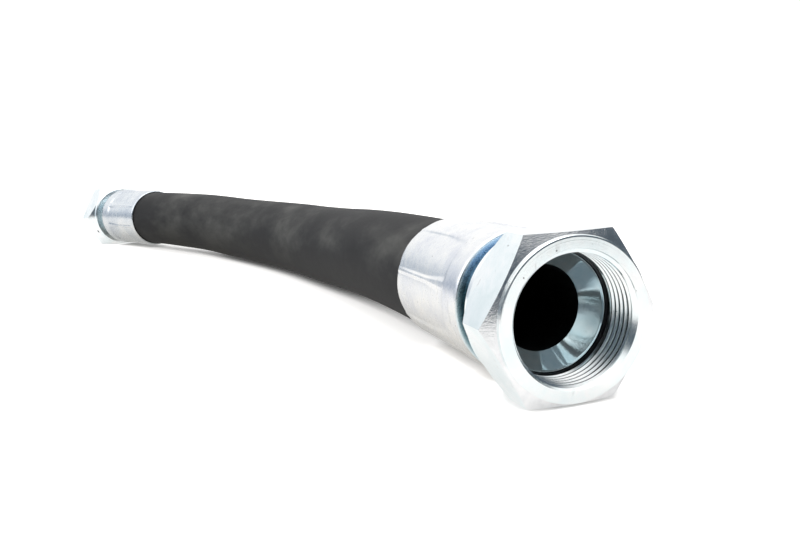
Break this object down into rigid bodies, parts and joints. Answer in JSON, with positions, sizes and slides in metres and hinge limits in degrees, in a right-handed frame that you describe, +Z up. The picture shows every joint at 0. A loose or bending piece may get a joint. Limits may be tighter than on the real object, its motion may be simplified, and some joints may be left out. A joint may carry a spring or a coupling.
{
  "type": "hydraulic hose assembly",
  "caption": "Short high-pressure hydraulic hose with a crimped ferrule and a 37 degree female swivel nut at each end, lying in a gentle bend.",
  "frame": {"origin": "on the surface that the assembly lies on, under the middle of its bounding box", "axes": "+Z up; +X out of the near fitting's mouth, parallel to its axis; the hose bends towards -Y on its way to the far fitting"},
  "size_m": [0.6188, 0.1809, 0.0508],
  "materials": {
    "cover_rubber": "matt charcoal synthetic rubber, cloth-wrapped cure",
    "tube_rubber": "smooth black nitrile rubber",
    "interlayer_rubber": "matt black rubber",
    "spiral_wire": "brass-coated high-tensile steel wire",
    "zinc_nut": "bright zinc plating over turned and drawn steel",
    "zinc_insert": "bright zinc plating over finely turned steel",
    "zinc_ferrule": "zinc plating, scuffed by the crimping dies",
    "spring_wire": "drawn spring steel"
  },
  "bodies": {
    "near_end": {"near_insert": "zinc_insert", "near_ferrule": "zinc_ferrule", "near_retaining_wire": "spring_wire", "hose_inner_tube": "tube_rubber", "wire_spiral_1": "spiral_wire", "rubber_interlayer_1": "interlayer_rubber", "wire_spiral_2": "spiral_wire", "rubber_interlayer_2": "interlayer_rubber", "wire_spiral_3": "spiral_wire", "rubber_interlayer_3": "interlayer_rubber", "wire_spiral_4": "spiral_wire", "hose_cover": "cover_rubber"},
    "near_nut": {"near_swivel_nut": "zinc_nut"},
    "far_end": {"far_insert": "zinc_insert", "far_ferrule": "zinc_ferrule", "far_retaining_wire": "spring_wire"},
    "far_nut": {"far_swivel_nut": "zinc_nut"}
  },
  "joints": [
    {"name": "hose_bend", "type": "hinge", "parent": "near_end", "child": "far_end", "pos_m": [-0.02896, 0.06115, 0.0254], "axis": [0, 0, 1], "range_deg": [-81, 31], "stiffness_Nm_per_rad": 40, "deforming": ["hose_inner_tube", "wire_spiral_1", "rubber_interlayer_1", "wire_spiral_2", "rubber_interlayer_2", "wire_spiral_3", "rubber_interlayer_3", "wire_spiral_4", "hose_cover"]},
    {"name": "near_nut_swivel", "type": "hinge", "parent": "near_end", "child": "near_nut", "pos_m": [0.3094, 0.06115, 0.0254], "axis": [1, 0, 0], "continuous": true},
    {"name": "far_nut_swivel", "type": "hinge", "parent": "far_end", "child": "far_nut", "pos_m": [-0.29922, -0.06545, 0.0254], "axis": [-0.9056, -0.4242, 0], "continuous": true}
  ]
}
